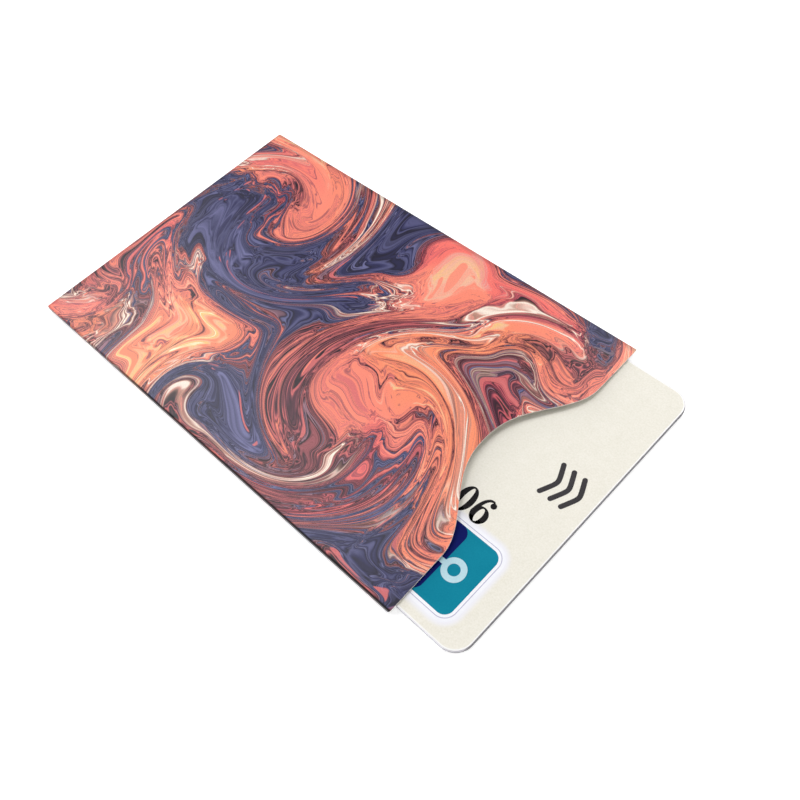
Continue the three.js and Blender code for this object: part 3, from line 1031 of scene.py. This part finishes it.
paper_finishes = [marbled_print(), cut_edge, paper_inside]
foil_finishes = [foil, foil, foil]
liner_finishes = [paper_inside, cut_edge, liner]
sleeve_paper = sleeve_layer("sleeve_paper", 0, PAPER, paper_finishes)
sleeve_foil = sleeve_layer("sleeve_foil", PAPER, FOIL, foil_finishes)
sleeve_liner = sleeve_layer("sleeve_liner", PAPER + FOIL, LINER, liner_finishes)
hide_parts("front_panel", "back_panel", "spine_fold", "side_fold", "end_fold")
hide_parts("front_foil", "back_foil")
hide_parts("front_liner", "back_liner")

card_finishes = [card_face(), card_side(), core_face, rim_highlight]
card_front = card_sheet("card_front", INLAY_HIGH[2], CARD_TOP, True, card_finishes)
card_back = card_sheet("card_back", CARD_LOW[2], INLAY_LOW[2], False, card_finishes)
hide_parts("card_front_overlay", "card_front_core")
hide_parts("card_back_overlay", "card_back_core")
number_print(number_ink)
arrow_print(arrow_ink)
label_print(label_halo(), border_ink, line_ink, field_ink, band_ink, sign_ink)

NODE_FINISHES = {
    "side_flap": liner,
    "end_flap": liner,
    "side_seam_glue": glue,
    "end_seam_glue": glue,
    "card_inlay_sheet": inlay,
    "card_antenna_coil": copper,
    "card_antenna_bridge": copper,
    "card_chip_module": resin,
}
for name, finish in NODE_FINISHES.items():
    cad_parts[name].material_slots[0].material = finish


# Floor, light and camera


def white_floor():
    """A pale floor just below the object, with its shadow; what is seen of it is lifted to white."""
    data = bpy.data.meshes.new("floor")
    corners = FLOOR_HALF * np.array([(-1, -1), (1, -1), (1, 1), (-1, 1)])
    data.from_pydata(np.column_stack([corners, np.full(4, -FLOOR_DROP)]).tolist(), [], [(0, 1, 2, 3)])
    graph = Finish("floor_white", roughness=0.9, specular=0.0)
    graph.paint((FLOOR_TONE, FLOOR_TONE, FLOOR_TONE, 1))
    graph.shader.inputs["Emission Color"].default_value = WHITE
    graph.put(graph.shader.inputs["Emission Strength"], graph.math("MULTIPLY", graph.seen(), FLOOR_GLOW))
    data.materials.append(graph.material)
    made = bpy.data.objects.new("floor", data)
    bpy.context.scene.collection.objects.link(made)


def look_at(made, place, aim, roll=0.0):
    """Puts a lamp or the camera at a place in millimetres, turned to an aim and rolled by degrees."""
    made.location = Vector(place) * MM
    made.rotation_mode = "QUATERNION"
    turn = Quaternion((0, 0, 1), math.radians(roll))
    made.rotation_quaternion = ((Vector(aim) - Vector(place)) * MM).to_track_quat("-Z", "Y") @ turn


def soft_light(name, toward, size, level):
    """An oblong soft light; level is the share of a white surface's light that it gives a level surface."""
    lamp = bpy.data.lights.new(name, "AREA")
    lamp.shape = "RECTANGLE"
    lamp.size, lamp.size_y = size
    direction = np.array(toward) / np.linalg.norm(toward)
    lamp.energy = level * math.pi**2 * LAMP_DISTANCE**2 / direction[2]
    made = bpy.data.objects.new(name, lamp)
    bpy.context.scene.collection.objects.link(made)
    look_at(made, direction * LAMP_DISTANCE / MM, (0, 0, 0))


def studio_light():
    """Light from all around, brightest low down on one side and dim on the other, seen as plain white."""
    world = bpy.data.worlds.new("studio")
    bpy.context.scene.world = world
    graph = Graph(world)
    place = graph.node("TexCoord").outputs["Generated"]
    side = graph.node("VectorMath", {0: place, 1: STUDIO_SIDE}, operation="DOT_PRODUCT").outputs["Value"]
    height = graph.node("SeparateXYZ", {0: place}).outputs[2]
    bright = graph.spread(height, *STUDIO_RISE, STUDIO_LOW, STUDIO_HIGH)
    level = graph.spread(side, *STUDIO_TURN, STUDIO_DIM, bright)
    sky = graph.tree.nodes["Background"].inputs
    sky["Color"].default_value = WHITE
    graph.put(sky["Strength"], graph.spread(graph.seen(), 0.0, 1.0, level, 1.0))


white_floor()
for name, (toward, size, level) in LAMPS.items():
    soft_light(name, toward, size, level)
studio_light()

camera = bpy.data.cameras.new("camera")
camera.lens = CAMERA_LENS
camera.sensor_width = CAMERA_SENSOR
camera.clip_start = CAMERA_NEAR * MM
camera_object = bpy.data.objects.new("camera", camera)
bpy.context.scene.collection.objects.link(camera_object)
look_at(camera_object, CAMERA_PLACE, CAMERA_AIM, CAMERA_ROLL)
bpy.context.scene.camera = camera_object
bpy.context.scene.view_settings.view_transform = "Standard"
